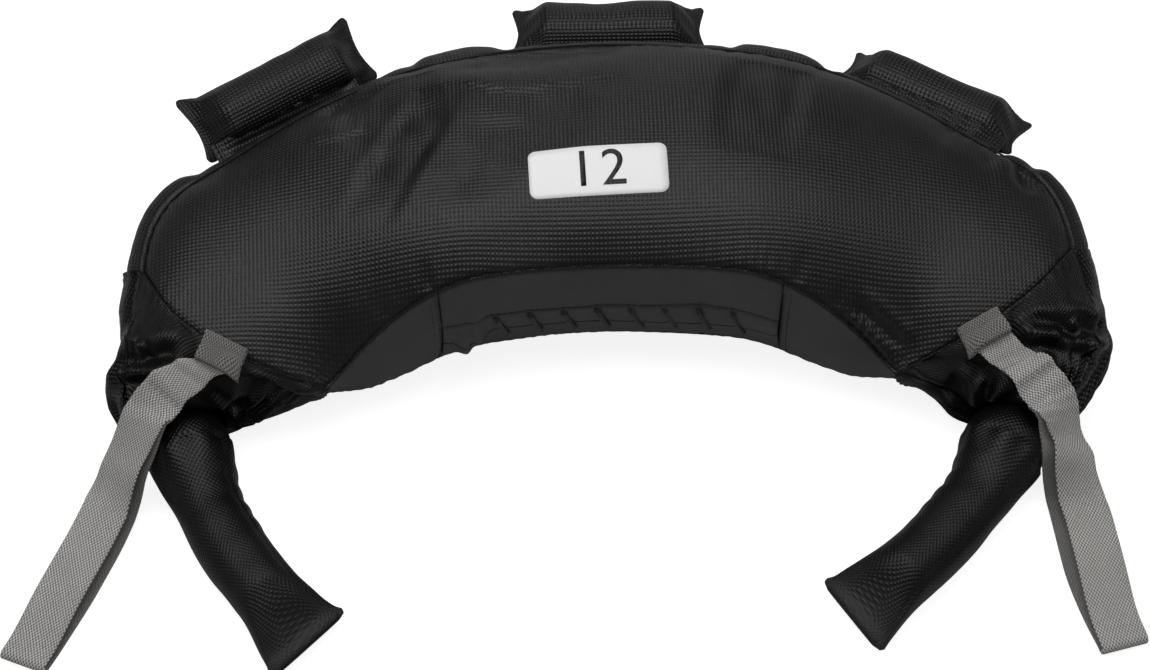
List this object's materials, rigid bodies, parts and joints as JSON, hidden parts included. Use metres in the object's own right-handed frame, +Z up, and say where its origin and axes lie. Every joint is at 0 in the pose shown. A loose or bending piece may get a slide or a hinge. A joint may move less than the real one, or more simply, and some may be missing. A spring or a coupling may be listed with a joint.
{
  "type": "bulgarian bag",
  "caption": "Crescent-shaped weighted training bag with stuffed end grips, short grips on its outer wall, webbing hand loops and a laced filling slit.",
  "frame": {"origin": "middle of the underside at the centre of the bag, on the floor it lies on", "axes": "+X from the left end grip to the right one, +Y towards the long outer wall with its short grips, +Z up"},
  "size_m": [0.7104, 0.4684, 0.152],
  "materials": {
    "black_leather": "embossed synthetic leather, satin black",
    "black_wall_leather": "fine-grained synthetic leather, satin black",
    "grey_webbing": "woven grey webbing, matte",
    "black_lace": "round woven lace, matte black",
    "sack_cloth": "plain woven cloth, matte",
    "textile_stuffing": "loose textile stuffing, matte",
    "grip_foam": "soft foam, matte dark grey"
  },
  "bodies": {
    "bag_body": {"top_panel": "black_leather", "bottom_panel": "black_leather", "outer_wall": "black_leather", "inner_wall_left": "black_wall_leather", "inner_wall_right": "black_wall_leather", "lacing_flap_upper": "black_wall_leather", "lacing_flap_lower": "black_wall_leather", "lace": "black_lace", "end_cap_left": "black_leather", "end_cap_right": "black_leather", "sand_sack_left": "sack_cloth", "sand_sack_center": "sack_cloth", "sand_sack_right": "sack_cloth", "end_stuffing_left": "textile_stuffing", "end_stuffing_right": "textile_stuffing", "strap_tab_left": "grey_webbing", "strap_tab_right": "grey_webbing"},
    "end_grip_left": {"end_grip_sleeve_left": "black_leather", "end_grip_core_left": "grip_foam"},
    "end_grip_right": {"end_grip_sleeve_right": "black_leather", "end_grip_core_right": "grip_foam"},
    "outer_grip_left": {"outer_grip_sleeve_left": "black_leather", "outer_grip_core_left": "grip_foam", "outer_grip_flap_left": "black_leather"},
    "outer_grip_center": {"outer_grip_sleeve_center": "black_leather", "outer_grip_core_center": "grip_foam", "outer_grip_flap_center": "black_leather"},
    "outer_grip_right": {"outer_grip_sleeve_right": "black_leather", "outer_grip_core_right": "grip_foam", "outer_grip_flap_right": "black_leather"},
    "strap_left": {"strap_loop_left": "grey_webbing"},
    "strap_right": {"strap_loop_right": "grey_webbing"}
  },
  "joints": [
    {"name": "end_grip_swing_left", "type": "hinge", "parent": "bag_body", "child": "end_grip_left", "pos_m": [-0.26892, -0.15614, 0.0274], "axis": [0, 0, 1], "range_deg": [-5, 20]},
    {"name": "end_grip_swing_right", "type": "hinge", "parent": "bag_body", "child": "end_grip_right", "pos_m": [0.24821, -0.16755, 0.0274], "axis": [0, 0, -1], "range_deg": [-4, 12]},
    {"name": "outer_grip_tilt_left", "type": "hinge", "parent": "bag_body", "child": "outer_grip_left", "pos_m": [-0.20146, 0.05577, 0.076], "axis": [0.8501, 0.5267, 0], "range_deg": [-45, 10]},
    {"name": "outer_grip_tilt_center", "type": "hinge", "parent": "bag_body", "child": "outer_grip_center", "pos_m": [0.00697, 0.10489, 0.076], "axis": [0.9999, -0.0119, 0], "range_deg": [-30, 30]},
    {"name": "outer_grip_tilt_right", "type": "hinge", "parent": "bag_body", "child": "outer_grip_right", "pos_m": [0.20927, 0.05151, 0.076], "axis": [0.8648, -0.5021, 0], "range_deg": [-10, 45]},
    {"name": "strap_lift_left", "type": "hinge", "parent": "bag_body", "child": "strap_left", "pos_m": [-0.2475, -0.12719, 0.0924], "axis": [-0.7722, 0.3775, 0.5111], "range_deg": [0, 100]},
    {"name": "strap_lift_right", "type": "hinge", "parent": "bag_body", "child": "strap_right", "pos_m": [0.23569, -0.12803, 0.09426], "axis": [-0.8895, -0.3443, -0.3005], "range_deg": [0, 100]}
  ]
}
